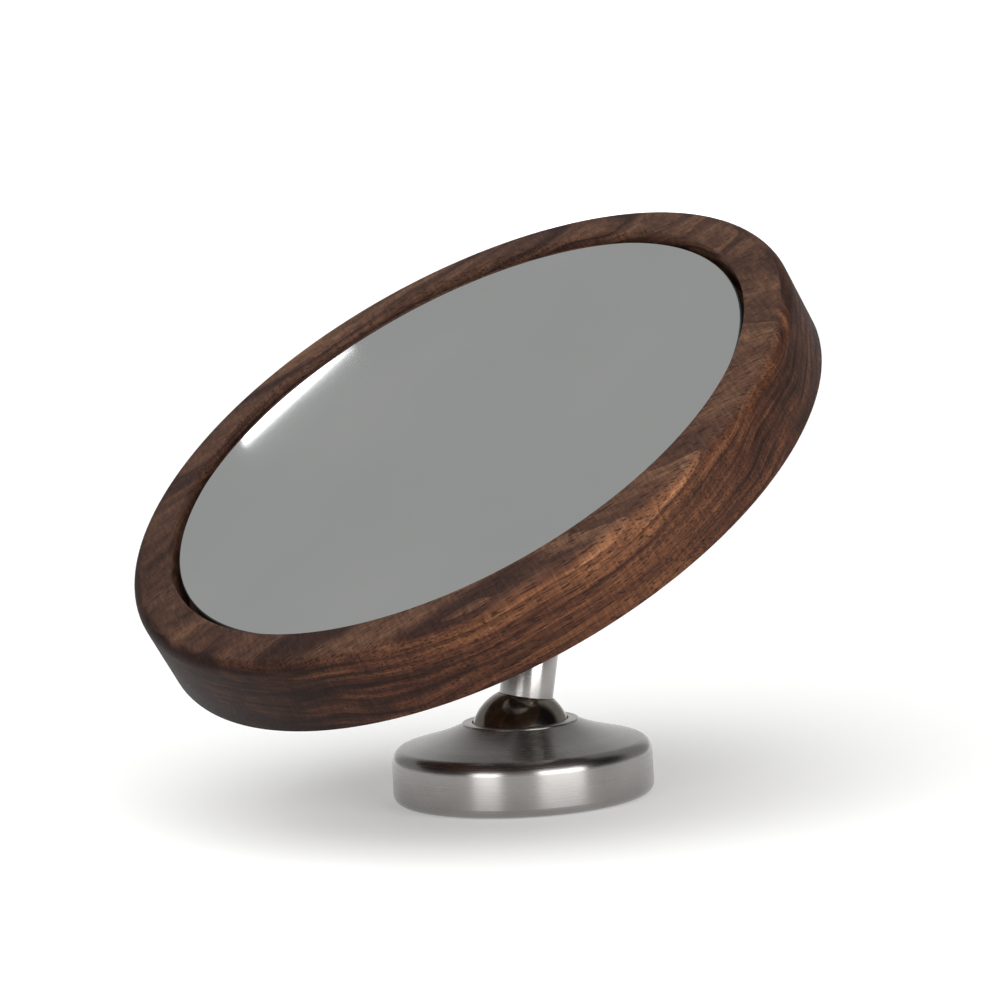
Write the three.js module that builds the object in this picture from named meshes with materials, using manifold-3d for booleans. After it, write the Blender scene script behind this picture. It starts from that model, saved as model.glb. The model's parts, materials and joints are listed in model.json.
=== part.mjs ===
// A round mirror in a turned walnut frame, on a short telescopic arm with a ball joint at each end.
// Millimetres, +Z up, origin at the centre of the underside. The mirror faces -Y and leans back.
import * as THREE from "three";
import { mergeVertices } from "three/addons/utils/BufferGeometryUtils.js";
import Module from "manifold-3d";

const wasm = await Module();
wasm.setup();

// ---- Driving dimensions ----

// How the object stands
const armLean = 10.8; // degrees from upright
const armLeanAzimuth = 70; // degrees from +X, seen from above
const armLength = 44.2; // centre of the base ball to centre of the head ball, arm closed
const mirrorTilt = 32.8; // degrees between the mirror's axis and upright

// Gaps
const clearance = 0.3; // between pieces that touch or slide

// Balls and their sockets
const ballRadius = 14;

// Base cover
const baseRadius = 36.4;
const baseDraft = 0.1;
const footHeight = 0.4;
const footFillet = 2.6;
const rimHeight = 15.8;
const rimFillet = 3.9;
const coneSlope = 0.29; // rise of the top for each millimetre inwards
const flareWidth = 10.6; // from the lip out to where the cone starts to curve up
const flareTurn = 3.6; // the corner that the flare is bent towards, outside the lip
const baseLipAboveBall = 4.8; // how far the lip reaches past the centre of the ball
const baseLipWall = 2.95;
const baseLipRound = 0.5;
const baseWall = 3.9;
const roofWall = 2.5;
const hubWall = 3.8;

// Stack inside the base, from the bottom up
const gasketThickness = 1;
const plateThickness = 1.3;
const plateRimHeight = 5.4;
const plateRimWall = 1.6;
const clampRingThickness = 1.4;
const clampRingHole = 12.5;
const springSheet = 0.5;
const springWave = 0.3; // half the height of the wave
const springWaves = 3;
const springWidth = 4;
const baseSeatHole = 9.14;
const baseSeatMargin = 3.9; // seat ring beyond the ball
const seatShoulder = 5.3; // top of the base seat ring below the ball's centre

// Fixings of the base
const wallHoleCircle = 25;
const wallHoleRadius = 2.3;
const wallHoleHead = 4.4;
const wallHoleCount = 3;
const wallHoleStart = 90; // degrees from +X to the first hole
const grubScrewRadius = 2;
const grubScrewSink = 0.5; // how far its end sits below the wall's surface
const grubScrewChamfer = 0.5;
const grubSocketRadius = 1.1;
const grubSocketDepth = 2;

// Telescopic arm
const tubeRadius = 7.5;
const tubeWall = 1.3;
const tubeSeatHeight = 5; // floor of the tube's seat in the ball, above the ball's centre
const ballBoreDepth = 8; // floor of the bore below the ball's centre
const tubeEndGap = 0.6; // between the arm's end and the sweep of the head socket's lip
const endCapThickness = 1.3;
const bushLength = 5.5;
const bumperThickness = 1;
const rodRadius = 4.5;
const rodNeckRadius = 3;
const sleeveLength = 5;
const footScrewHeadRadius = 3.8;
const footScrewHeadHeight = 2.1;
const footScrewShankRadius = 1.5;
const footScrewShankLength = 7;
const rodInBall = 9;

// Head socket
const headReach = 32; // centre of the head ball to the back of the frame
const headLipAboveBall = 4.8;
const headLipWall = 2.9;
const headLipRound = 0.8;
const flangeRadius = 30;
const flangeThickness = 3;
const flangeFillet = 3;
const flangeEdge = 0.8;
const neckWall = 2.8;
const headSeatMargin = 1.4; // seat cup beyond the ball
const headSeatTop = 4.6; // near end of the seat cup, from the ball's centre
const headSeatHole = 7;
const headSeatWall = 1.5;
const plugThickness = 4;
const plugHole = 3.5;
const flangeScrewCircle = 25;
const flangeScrewCount = 4;
const flangeScrewStart = 45; // degrees from +X to the first screw
const flangeScrewRadius = 1.75;
const flangeScrewHead = 3.4;
const flangeScrewLength = 11;
const flangeScrewPoint = 3;
const screwRecessRadius = 1.2;
const screwRecessDepth = 1.2;

// Countersunk heads
const headLand = 0.2; // straight part of a countersunk head, above its cone

// Frame and glass
const frameRadius = 100;
const frameThickness = 22.3; // at its outer edge
const faceCrown = 0.9; // rise of the front face from its outer edge to the pocket
const frameBorder = 12.7;
const frameFrontFillet = 3.8;
const frameBackEdge = 0.4;
const pocketEdge = 0.5;
const glassGap = 1.9;
const glassRecess = 1.6; // edge of the glass below the outer edge of the front face
const glassThickness = 3.5;
const glassCurvature = 1000; // radius of the magnifying surface
const bedThickness = 1;
const bedEdgeGap = 2.5;

// How finely round things are faceted
const smallSides = 12;
const ringSides = 24;
const socketSides = 32;
const baseSides = 48;
const frameSides = 64;
const edgeSteps = 2; // along a small rounded edge
const filletSteps = 4;
const flareSteps = 6;
const ballSteps = 10; // from one opening of a ball to its far pole
const seatSteps = 4; // along the face of a ball's seat
const dishSteps = 5; // from the middle of the glass to its edge

const overshoot = 1; // how far a cutting tool reaches past what it cuts

// ---- Sizes that follow ----

const seatRadius = ballRadius + clearance;
const baseLipRadius = Math.sqrt(seatRadius ** 2 - baseLipAboveBall ** 2) + baseLipWall;
const headLipRadius = Math.sqrt(seatRadius ** 2 - headLipAboveBall ** 2) + headLipWall;

const plateBottom = gasketThickness + clearance;
const plateTop = plateBottom + plateThickness;
const clampRingBottom = plateTop + clearance;
const baseSpringBottom = clampRingBottom + clampRingThickness + clearance;
const springHeight = springSheet + 2 * springWave;
const baseSeatBottom = baseSpringBottom + springHeight + clearance;
const baseSeatDrop = Math.sqrt(seatRadius ** 2 - baseSeatHole ** 2);
const ballHeight = baseSeatBottom + baseSeatDrop;
const baseSeatRadius = ballRadius + baseSeatMargin;
const baseBoreRadius = baseSeatRadius + clearance;
const hubRadius = baseBoreRadius + hubWall;
const cavityRadius = baseRadius - baseWall;
const plateRadius = cavityRadius - clearance;
const grubScrewHeight = plateTop + plateRimHeight / 2;
const grubScrewTip = plateRadius + clearance;
const grubScrewLength = baseRadius - grubScrewSink - grubScrewTip;

const tubeBore = tubeRadius - tubeWall;
const tubeSeatRadius = tubeRadius + clearance;
const bushRadius = tubeBore - clearance;
const rodHole = rodRadius + clearance;
const armEnd = armLength - Math.hypot(headLipRadius, headLipAboveBall) - tubeEndGap;
const tubeTop = armEnd - endCapThickness - clearance;
const tubeBottom = tubeSeatHeight + clearance;
const bushBottom = tubeTop - bushLength;
const bumperBottom = -ballBoreDepth + clearance;
const footScrewBottom = bumperBottom + bumperThickness + clearance;
const sleeveBottom = footScrewBottom + footScrewHeadHeight + clearance;
const sleeveTop = sleeveBottom + sleeveLength;
const rodShoulder = sleeveTop + clearance;
const rodTop = armLength - Math.sqrt(ballRadius ** 2 - rodHole ** 2) + rodInBall;

const headSeatRadius = ballRadius + headSeatMargin;
const headBoreRadius = headSeatRadius + clearance;
const neckRadius = headBoreRadius + neckWall;
const headSeatEnd = Math.sqrt(seatRadius ** 2 - headSeatHole ** 2) + headSeatWall;
const headSpringBottom = headSeatEnd + clearance;
const plugBottom = headSpringBottom + springHeight + clearance;
const flangeBack = headReach - clearance;
const flangeFront = flangeBack - flangeThickness;

const frameFront = headReach + frameThickness;
const pocketRim = frameFront + faceCrown;
const pocketRadius = frameRadius - frameBorder;
const glassRadius = pocketRadius - glassGap;
const bedRadius = pocketRadius - bedEdgeGap;
const dish = (radius) => glassCurvature - Math.sqrt(glassCurvature ** 2 - radius ** 2);
const glassEdge = frameFront - glassRecess;
const glassMiddle = glassEdge - dish(glassRadius);
const bedMiddle = glassMiddle - glassThickness - clearance;
const bedBottom = bedMiddle - bedThickness;
const pocketFloor = bedBottom - clearance;

// ---- Materials ----

const finish = (color, roughness, metalness) =>
  new THREE.MeshStandardMaterial({ color, roughness, metalness });
const satinNickel = finish("#9a9794", 0.35, 1);
const polishedNickel = finish("#8c8782", 0.12, 1);
const walnut = finish("#6b4834", 0.6, 0);
const silvering = finish("#9b9d9e", 0.04, 1);
const zincSteel = finish("#a8a9a6", 0.45, 1);
const springSteel = finish("#6e6c69", 0.3, 1);
const acetal = finish("#e6e3da", 0.5, 0);
const rubber = finish("#2b2b2c", 0.85, 0);
const foam = finish("#c9c8c4", 0.9, 0);

// ---- Ways of making a solid ----

// Points of an arc in the (radius, height) plane, angles in degrees from +radius
function arc(radius, height, size, from, to, steps) {
  return Array.from({ length: steps + 1 }, (_, i) => {
    const angle = THREE.MathUtils.degToRad(from + ((to - from) * i) / steps);
    return [radius + size * Math.cos(angle), height + size * Math.sin(angle)];
  });
}

// Points of a curve that leaves `start` towards `corner` and arrives at `end` from it
function bend(start, corner, end, steps) {
  const curve = new THREE.QuadraticBezierCurve(
    new THREE.Vector2(...start),
    new THREE.Vector2(...corner),
    new THREE.Vector2(...end),
  );
  return curve.getPoints(steps).map((point) => [point.x, point.y]);
}

// Angle in degrees at which a circle of the given size is `height` above its centre
const angleAt = (height, size) => THREE.MathUtils.radToDeg(Math.asin(height / size));

// A closed geometry that holds positions only, with shared corners and no empty triangles
function closed(geometry) {
  geometry.deleteAttribute("normal");
  geometry.deleteAttribute("uv");
  const merged = mergeVertices(geometry, 1e-4);
  const corners = merged.index.array;
  const kept = [];
  for (let i = 0; i < corners.length; i += 3) {
    const [a, b, c] = corners.slice(i, i + 3);
    if (a !== b && b !== c && c !== a) kept.push(a, b, c);
  }
  merged.setIndex(kept);
  return merged;
}

// A solid of revolution about +Z. The outline goes round its section anticlockwise.
function turned(outline, sides) {
  const onAxis = (point) => Math.abs(point[0]) < 1e-9;
  const points = outline.map(([radius, height]) => new THREE.Vector2(radius, height));
  if (!onAxis(outline[0])) points.push(points[0].clone());
  return closed(new THREE.LatheGeometry(points, sides).rotateX(Math.PI / 2));
}

const ring = (inner, outer, bottom, top, sides) =>
  turned([[inner, bottom], [outer, bottom], [outer, top], [inner, top]], sides);

const disc = (radius, bottom, top, sides) =>
  turned([[0, bottom], [radius, bottom], [radius, top], [0, top]], sides);

function toSolid(geometry) {
  return new wasm.Manifold(
    new wasm.Mesh({
      numProp: 3,
      vertProperties: new Float32Array(geometry.attributes.position.array),
      triVerts: new Uint32Array(geometry.index.array),
    }),
  );
}

function toGeometry(solid) {
  const mesh = solid.getMesh();
  const geometry = new THREE.BufferGeometry();
  geometry.setAttribute("position", new THREE.BufferAttribute(mesh.vertProperties, 3));
  geometry.setIndex(new THREE.BufferAttribute(mesh.triVerts, 1));
  return geometry;
}

// `body` with every tool cut out of it
function cut(body, tools) {
  return toGeometry(tools.reduce((solid, tool) => solid.subtract(toSolid(tool)), toSolid(body)));
}

// Copies of a shape spread evenly round the Z axis, at a distance from it
function around(count, distance, startAngle, make) {
  return Array.from({ length: count }, (_, i) => {
    const angle = THREE.MathUtils.degToRad(startAngle + (360 * i) / count);
    return make().translate(distance * Math.cos(angle), distance * Math.sin(angle), 0);
  });
}

// ---- Base ----

// Spun shell with a thick rim, a low cone on top, and a flare that rises to the ball's lip
function baseCover() {
  const wallTop = baseRadius - baseDraft;
  const coneHeight = (radius) => rimHeight + coneSlope * (wallTop - rimFillet - radius);
  const flareFoot = baseLipRadius + flareWidth;
  const flareCorner = baseLipRadius + flareTurn;
  const lipTop = ballHeight + baseLipAboveBall;
  const seatFloor = ballHeight - seatShoulder + clearance;
  const roof = rimHeight - roofWall;
  const body = turned(
    [
      [cavityRadius, footHeight],
      ...arc(baseRadius - footFillet, footHeight + footFillet, footFillet, -90, 0, filletSteps),
      ...arc(wallTop - rimFillet, rimHeight - rimFillet, rimFillet, 0, 80, filletSteps),
      ...bend(
        [flareFoot, coneHeight(flareFoot)],
        [flareCorner, coneHeight(flareCorner)],
        [baseLipRadius, lipTop - baseLipRound],
        flareSteps,
      ),
      ...arc(
        baseLipRadius - baseLipRound,
        lipTop - baseLipRound,
        baseLipRound,
        30,
        90,
        edgeSteps,
      ),
      ...arc(
        0,
        ballHeight,
        seatRadius,
        angleAt(baseLipAboveBall, seatRadius),
        angleAt(seatFloor - ballHeight, seatRadius),
        seatSteps,
      ),
      [baseBoreRadius, seatFloor],
      [baseBoreRadius, plateTop + clearance],
      [hubRadius, plateTop + clearance],
      [hubRadius, roof],
      [cavityRadius, roof],
    ],
    baseSides,
  );
  return cut(body, [grubScrewHole()]);
}

// Radial hole at the back of the wall, for the grub screw
function grubScrewHole() {
  const length = 2 * baseWall;
  const tool = disc(grubScrewRadius + clearance, -length / 2, length / 2, smallSides);
  return tool.rotateX(Math.PI / 2).translate(0, baseRadius - baseWall / 2, grubScrewHeight);
}

// Grub screw with its socket facing outwards, its tip on the rim of the wall plate
function grubScrew() {
  const outline = [
    [0, 0],
    [grubScrewRadius - grubScrewChamfer, 0],
    [grubScrewRadius, grubScrewChamfer],
    [grubScrewRadius, grubScrewLength],
    [grubSocketRadius, grubScrewLength],
    [grubSocketRadius, grubScrewLength - grubSocketDepth],
    [0, grubScrewLength - grubSocketDepth],
  ];
  const screw = turned(outline, smallSides).rotateX(-Math.PI / 2);
  return screw.translate(0, grubScrewTip, grubScrewHeight);
}

// Pressed cup with an upstanding rim and countersunk holes
function wallPlate() {
  const rimTop = plateTop + plateRimHeight;
  const body = turned(
    [
      [0, plateBottom],
      [plateRadius, plateBottom],
      [plateRadius, rimTop],
      [plateRadius - plateRimWall, rimTop],
      [plateRadius - plateRimWall, plateTop],
      [0, plateTop],
    ],
    baseSides,
  );
  const countersink = () =>
    turned(
      [
        [0, plateBottom - overshoot],
        [wallHoleRadius, plateBottom - overshoot],
        [wallHoleRadius, plateBottom + headLand],
        [wallHoleHead, plateTop],
        [wallHoleHead, plateTop + overshoot],
        [0, plateTop + overshoot],
      ],
      smallSides,
    );
  return cut(body, around(wallHoleCount, wallHoleCircle, wallHoleStart, countersink));
}

// Soft disc under the plate, with holes for the same screws
function backingGasket() {
  const body = disc(plateRadius, 0, gasketThickness, baseSides);
  const hole = () =>
    disc(wallHoleRadius + clearance, -overshoot, gasketThickness + overshoot, smallSides);
  return cut(body, around(wallHoleCount, wallHoleCircle, wallHoleStart, hole));
}

const clampRing = () => {
  const top = clampRingBottom + clampRingThickness;
  return ring(clampRingHole, baseSeatRadius, clampRingBottom, top, socketSides);
};

// Wave washer: a flat ring whose sheet rises and falls round the circle
function waveSpring(outer, bottom) {
  const middle = bottom + springWave;
  const washer = ring(outer - springWidth, outer, middle, middle + springSheet, socketSides);
  const position = washer.attributes.position;
  for (let i = 0; i < position.count; i += 1) {
    const angle = Math.atan2(position.getY(i), position.getX(i));
    position.setZ(i, position.getZ(i) + springWave * Math.cos(springWaves * angle));
  }
  return washer;
}

// Acetal ring with a spherical seat, centred on the ball above it
function baseSeatRing() {
  const top = ballHeight - seatShoulder;
  return turned(
    [
      [baseSeatRadius, baseSeatBottom],
      [baseSeatRadius, top],
      ...arc(
        0,
        ballHeight,
        seatRadius,
        -angleAt(seatShoulder, seatRadius),
        -angleAt(baseSeatDrop, seatRadius),
        seatSteps,
      ),
    ],
    socketSides,
  );
}

// ---- Arm, in a frame centred on the base ball with +Z along the arm ----

// Ball with a seat for the tube and a blind bore for the rod
function baseBall() {
  const mouth = Math.sqrt(ballRadius ** 2 - tubeSeatRadius ** 2);
  return turned(
    [
      ...arc(0, 0, ballRadius, -90, angleAt(mouth, ballRadius), ballSteps),
      [tubeSeatRadius, tubeSeatHeight],
      [tubeBore, tubeSeatHeight],
      [tubeBore, -ballBoreDepth],
      [0, -ballBoreDepth],
    ],
    socketSides,
  );
}

const outerTube = () => ring(tubeBore, tubeRadius, tubeBottom, tubeTop, ringSides);

const guideBush = () => ring(rodHole, bushRadius, bushBottom, tubeTop, ringSides);

// Flush cap on the end of the tube, with a rounded edge
function tubeEndCap() {
  const bottom = tubeTop + clearance;
  const round = endCapThickness / 2;
  return turned(
    [
      [rodHole, bottom],
      [tubeRadius, bottom],
      ...arc(tubeRadius - round, armEnd - round, round, 0, 90, filletSteps),
      [rodHole, armEnd],
    ],
    ringSides,
  );
}

const boreBumper = () =>
  disc(bushRadius, bumperBottom, bumperBottom + bumperThickness, smallSides);

const rodSleeve = () =>
  ring(rodNeckRadius + clearance, bushRadius, sleeveBottom, sleeveTop, ringSides);

// Rod with a neck for the sleeve and a threaded hole in its foot
function innerRod() {
  const hole = footScrewShankRadius + clearance;
  const holeTop = sleeveBottom + footScrewShankLength;
  return turned(
    [
      [0, holeTop],
      [hole, holeTop],
      [hole, sleeveBottom],
      [rodNeckRadius, sleeveBottom],
      [rodNeckRadius, rodShoulder],
      [rodRadius, rodShoulder],
      [rodRadius, rodTop],
      [0, rodTop],
    ],
    ringSides,
  );
}

function rodFootScrew() {
  const headTop = footScrewBottom + footScrewHeadHeight;
  return turned(
    [
      [0, footScrewBottom + screwRecessDepth],
      [screwRecessRadius, footScrewBottom + screwRecessDepth],
      [screwRecessRadius, footScrewBottom],
      [footScrewHeadRadius, footScrewBottom],
      [footScrewHeadRadius, headTop],
      [footScrewShankRadius, headTop],
      [footScrewShankRadius, headTop + footScrewShankLength],
      [0, headTop + footScrewShankLength],
    ],
    smallSides,
  );
}

// Ball with a blind bore that the rod screws into
function headBall() {
  const mouth = Math.sqrt(ballRadius ** 2 - rodHole ** 2);
  return turned(
    [
      [0, rodTop + clearance],
      [rodHole, rodTop + clearance],
      ...arc(0, armLength, ballRadius, -angleAt(mouth, ballRadius), 90, ballSteps),
    ],
    socketSides,
  );
}

// ---- Head, in a frame centred on the head ball with +Z towards the viewer of the mirror ----

// Acetal cup behind the ball
function headSeatCup() {
  const hole = Math.sqrt(seatRadius ** 2 - headSeatHole ** 2);
  return turned(
    [
      ...arc(
        0,
        0,
        seatRadius,
        angleAt(hole, seatRadius),
        angleAt(headSeatTop, seatRadius),
        seatSteps,
      ),
      [headSeatRadius, headSeatTop],
      [headSeatRadius, headSeatEnd],
      [headSeatHole, headSeatEnd],
    ],
    socketSides,
  );
}

// Bell that holds the ball by its lip and carries the flange behind the frame
function headSocket() {
  const lipEnd = -headLipAboveBall;
  const seatFloor = headSeatTop - clearance;
  const body = turned(
    [
      ...arc(
        headLipRadius - headLipRound,
        lipEnd + headLipRound,
        headLipRound,
        -90,
        0,
        edgeSteps,
      ),
      [neckRadius, headSeatTop],
      ...arc(
        neckRadius + flangeFillet,
        flangeFront - flangeFillet,
        flangeFillet,
        180,
        90,
        filletSteps,
      ),
      ...arc(
        flangeRadius - flangeEdge,
        flangeFront + flangeEdge,
        flangeEdge,
        -90,
        0,
        edgeSteps,
      ),
      [flangeRadius, flangeBack],
      [headBoreRadius, flangeBack],
      [headBoreRadius, seatFloor],
      [seatRadius, seatFloor],
      ...arc(0, 0, seatRadius, 0, -angleAt(headLipAboveBall, seatRadius), seatSteps),
    ],
    socketSides,
  );
  const holes = around(flangeScrewCount, flangeScrewCircle, flangeScrewStart, flangeScrewHole);
  return cut(body, holes);
}

const pressurePlug = () =>
  ring(plugHole, headSeatRadius, plugBottom, plugBottom + plugThickness, socketSides);

// Countersunk hole through the flange, a clearance bigger than the screw all round
function flangeScrewHole() {
  const sinkTop = flangeFront + headLand;
  const sinkDepth = flangeScrewHead - flangeScrewRadius;
  return turned(
    [
      [0, flangeFront - overshoot],
      [flangeScrewHead + clearance, flangeFront - overshoot],
      [flangeScrewHead + clearance, sinkTop],
      [flangeScrewRadius + clearance, sinkTop + sinkDepth],
      [flangeScrewRadius + clearance, flangeBack + overshoot],
      [0, flangeBack + overshoot],
    ],
    smallSides,
  );
}

// Countersunk wood screw with a round recess in its head and a point
function flangeScrew() {
  const end = flangeFront + flangeScrewLength;
  const sinkDepth = flangeScrewHead - flangeScrewRadius;
  return turned(
    [
      [0, flangeFront + screwRecessDepth],
      [screwRecessRadius, flangeFront + screwRecessDepth],
      [screwRecessRadius, flangeFront],
      [flangeScrewHead, flangeFront],
      [flangeScrewHead, flangeFront + headLand],
      [flangeScrewRadius, flangeFront + headLand + sinkDepth],
      [flangeScrewRadius, end - flangeScrewPoint],
      [0, end],
    ],
    smallSides,
  );
}

// Turned wooden disc with a pocket for the glass and pilot holes in its back
function woodFrame() {
  const body = turned(
    [
      [0, headReach],
      [frameRadius - frameBackEdge, headReach],
      [frameRadius, headReach + frameBackEdge],
      ...arc(
        frameRadius - frameFrontFillet,
        frameFront - frameFrontFillet,
        frameFrontFillet,
        0,
        90,
        filletSteps,
      ),
      [pocketRadius + pocketEdge, pocketRim],
      [pocketRadius, pocketRim - pocketEdge],
      [pocketRadius, pocketFloor],
      [0, pocketFloor],
    ],
    frameSides,
  );
  const holeEnd = flangeFront + flangeScrewLength + clearance;
  const hole = () =>
    disc(flangeScrewRadius + clearance, headReach - overshoot, holeEnd, smallSides);
  return cut(body, around(flangeScrewCount, flangeScrewCircle, flangeScrewStart, hole));
}

// Points of a dished surface from the axis outwards, the whole surface moved to `middle`
function dished(middle, radius) {
  return Array.from({ length: dishSteps + 1 }, (_, i) => {
    const at = (radius * i) / dishSteps;
    return [at, middle + dish(at)];
  });
}

// Dished glass of even thickness
const mirrorGlass = () =>
  turned(
    [
      ...dished(glassMiddle - glassThickness, glassRadius),
      ...dished(glassMiddle, glassRadius).reverse(),
    ],
    frameSides,
  );

// Soft bed, flat below and dished above
const mirrorBed = () =>
  turned(
    [[0, bedBottom], [bedRadius, bedBottom], ...dished(bedMiddle, bedRadius).reverse()],
    ringSides,
  );

// ---- Assembly ----

function add(parent, name, geometry, material) {
  const mesh = new THREE.Mesh(geometry, material);
  mesh.name = name;
  parent.add(mesh);
}

const mirror = new THREE.Group();

const base = new THREE.Group();
mirror.add(base);
add(base, "base_cover", baseCover(), satinNickel);
add(base, "wall_plate", wallPlate(), zincSteel);
add(base, "backing_gasket", backingGasket(), rubber);
add(base, "base_grub_screw", grubScrew(), zincSteel);
add(base, "base_clamp_ring", clampRing(), zincSteel);
add(base, "base_wave_spring", waveSpring(baseSeatRadius, baseSpringBottom), springSteel);
add(base, "base_seat_ring", baseSeatRing(), acetal);

const armTurn = new THREE.Group();
armTurn.position.set(0, 0, ballHeight);
armTurn.rotation.z = THREE.MathUtils.degToRad(armLeanAzimuth);
mirror.add(armTurn);
const arm = new THREE.Group();
arm.rotation.y = THREE.MathUtils.degToRad(armLean);
armTurn.add(arm);
add(arm, "base_ball", baseBall(), polishedNickel);
add(arm, "outer_tube", outerTube(), satinNickel);
add(arm, "guide_bush", guideBush(), acetal);
add(arm, "tube_end_cap", tubeEndCap(), satinNickel);
add(arm, "bore_bumper", boreBumper(), rubber);
add(arm, "rod_sleeve", rodSleeve(), acetal);
add(arm, "inner_rod", innerRod(), polishedNickel);
add(arm, "rod_foot_screw", rodFootScrew(), zincSteel);
add(arm, "head_ball", headBall(), polishedNickel);

mirror.updateMatrixWorld(true);
const head = new THREE.Group();
head.position.copy(arm.localToWorld(new THREE.Vector3(0, 0, armLength)));
head.rotation.x = THREE.MathUtils.degToRad(mirrorTilt);
mirror.add(head);
add(head, "head_seat_cup", headSeatCup(), acetal);
add(head, "head_socket", headSocket(), satinNickel);
add(head, "head_wave_spring", waveSpring(headSeatRadius, headSpringBottom), springSteel);
add(head, "head_pressure_plug", pressurePlug(), zincSteel);
around(flangeScrewCount, flangeScrewCircle, flangeScrewStart, flangeScrew).forEach((screw, i) =>
  add(head, `flange_screw_${i + 1}`, screw, zincSteel),
);
add(head, "wood_frame", woodFrame(), walnut);
add(head, "mirror_bed", mirrorBed(), foam);
add(head, "mirror_glass", mirrorGlass(), silvering);

export default mirror;
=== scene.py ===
"""A round walnut-framed mirror on a short telescopic arm: its fine pieces and their finishes."""

import json
import math

import bmesh
import bpy
from mathutils import Matrix, Vector


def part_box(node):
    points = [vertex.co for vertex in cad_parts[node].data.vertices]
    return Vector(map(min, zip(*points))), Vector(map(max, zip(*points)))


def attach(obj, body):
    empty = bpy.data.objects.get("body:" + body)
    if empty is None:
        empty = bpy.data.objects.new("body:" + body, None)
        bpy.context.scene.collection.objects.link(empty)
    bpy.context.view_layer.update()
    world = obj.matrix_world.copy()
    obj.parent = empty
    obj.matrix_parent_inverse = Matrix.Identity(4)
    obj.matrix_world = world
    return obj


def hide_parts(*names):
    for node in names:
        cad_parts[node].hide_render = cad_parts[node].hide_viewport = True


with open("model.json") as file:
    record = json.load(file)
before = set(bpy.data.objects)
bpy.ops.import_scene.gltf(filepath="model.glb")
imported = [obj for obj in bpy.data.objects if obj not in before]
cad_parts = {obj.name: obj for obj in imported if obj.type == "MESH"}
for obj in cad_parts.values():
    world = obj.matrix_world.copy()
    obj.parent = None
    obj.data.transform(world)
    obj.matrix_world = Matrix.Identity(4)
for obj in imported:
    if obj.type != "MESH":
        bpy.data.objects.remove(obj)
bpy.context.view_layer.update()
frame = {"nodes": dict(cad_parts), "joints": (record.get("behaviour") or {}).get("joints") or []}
bpy.ops.object.select_all(action="DESELECT")

mm = 0.001

# ---- Sizes that several pieces share ----

gap = 0.3 * mm  # between pieces that touch or slide
ball_radius = 14 * mm
seat_radius = ball_radius + gap
screw_head = 3.4 * mm
screw_shank = 1.75 * mm
head_land = 0.2 * mm  # straight part of a countersunk head, above its cone

# How many sides round things have
frame_sides = 256
fine_sides = 192
ball_sides = 128
small_sides = 48

# ---- Where the turned groups stand ----

joints = {joint["name"]: joint for joint in frame["joints"]}
base_ball_centre = Vector(joints["base_tilt"]["pos_m"])
head_ball_centre = Vector(joints["head_tilt"]["pos_m"])
arm_axis = Vector(joints["arm_slide"]["axis"])
mirror_axis = Vector(joints["head_spin"]["axis"])


def standing(origin, axis):
    """A frame at `origin` with +Z along `axis` and +X as near the row's +X as it can be."""
    up = axis.normalized()
    side = (Vector((1, 0, 0)) - up * up.x).normalized()
    columns = Matrix((side, up.cross(side), up)).transposed()
    return Matrix.Translation(origin) @ columns.to_4x4()


base_place = Matrix.Identity(4)
arm_place = standing(base_ball_centre, arm_axis)
head_place = standing(head_ball_centre, mirror_axis)


def reach(node, place):
    """A CAD node's least and greatest radius, then lowest and highest point, about the Z of `place`."""
    points = [place.inverted() @ corner.co for corner in frame["nodes"][node].data.vertices]
    radii = [point.xy.length for point in points]
    heights = [point.z for point in points]
    return min(radii), max(radii), min(heights), max(heights)


# ---- Ways of shaping ----

def arc(radius, height, size, start, end, steps=8):
    """Points of an arc in the (radius, height) plane, angles in degrees from +radius."""
    angles = [math.radians(start + (end - start) * i / steps) for i in range(steps + 1)]
    return [(radius + size * math.cos(a), height + size * math.sin(a)) for a in angles]


def sweep(start, corner, end, steps=12):
    """Points of a curve that leaves `start` towards `corner` and arrives at `end` from it."""
    points = []
    for i in range(steps + 1):
        t = i / steps
        near, turn, far = (1 - t) ** 2, 2 * t * (1 - t), t * t
        points.append(tuple(near * a + turn * b + far * c for a, b, c in zip(start, corner, end)))
    return points


def angle_at(height, size):
    """Angle in degrees at which a circle of radius `size` is `height` above its centre."""
    return math.degrees(math.asin(height / size))


def turned(name, outline, sides=fine_sides):
    """One corner extruded along a section's outline, then spun round Z into a closed body."""
    bpy.ops.mesh.primitive_plane_add(size=mm, location=(outline[0][0], 0, outline[0][1]))
    piece = bpy.context.object
    piece.name = name
    bpy.ops.object.transform_apply(location=True, rotation=False, scale=False)
    bpy.ops.object.mode_set(mode="EDIT")
    bpy.ops.mesh.select_mode(type="VERT")
    bpy.ops.mesh.select_all(action="SELECT")
    bpy.ops.mesh.merge(type="CENTER")
    for here, there in zip(outline, outline[1:]):
        step = (there[0] - here[0], 0, there[1] - here[1])
        bpy.ops.mesh.extrude_region_move(TRANSFORM_OT_translate={"value": step})
    bpy.ops.mesh.select_all(action="SELECT")
    bpy.ops.mesh.spin(steps=sides, angle=2 * math.pi, center=(0, 0, 0), axis=(0, 0, 1))
    bpy.ops.mesh.select_all(action="SELECT")
    bpy.ops.mesh.remove_doubles(threshold=0.001 * mm)
    bpy.ops.mesh.normals_make_consistent(inside=False)
    bpy.ops.mesh.select_all(action="DESELECT")
    bpy.ops.object.mode_set(mode="OBJECT")
    return piece


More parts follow.
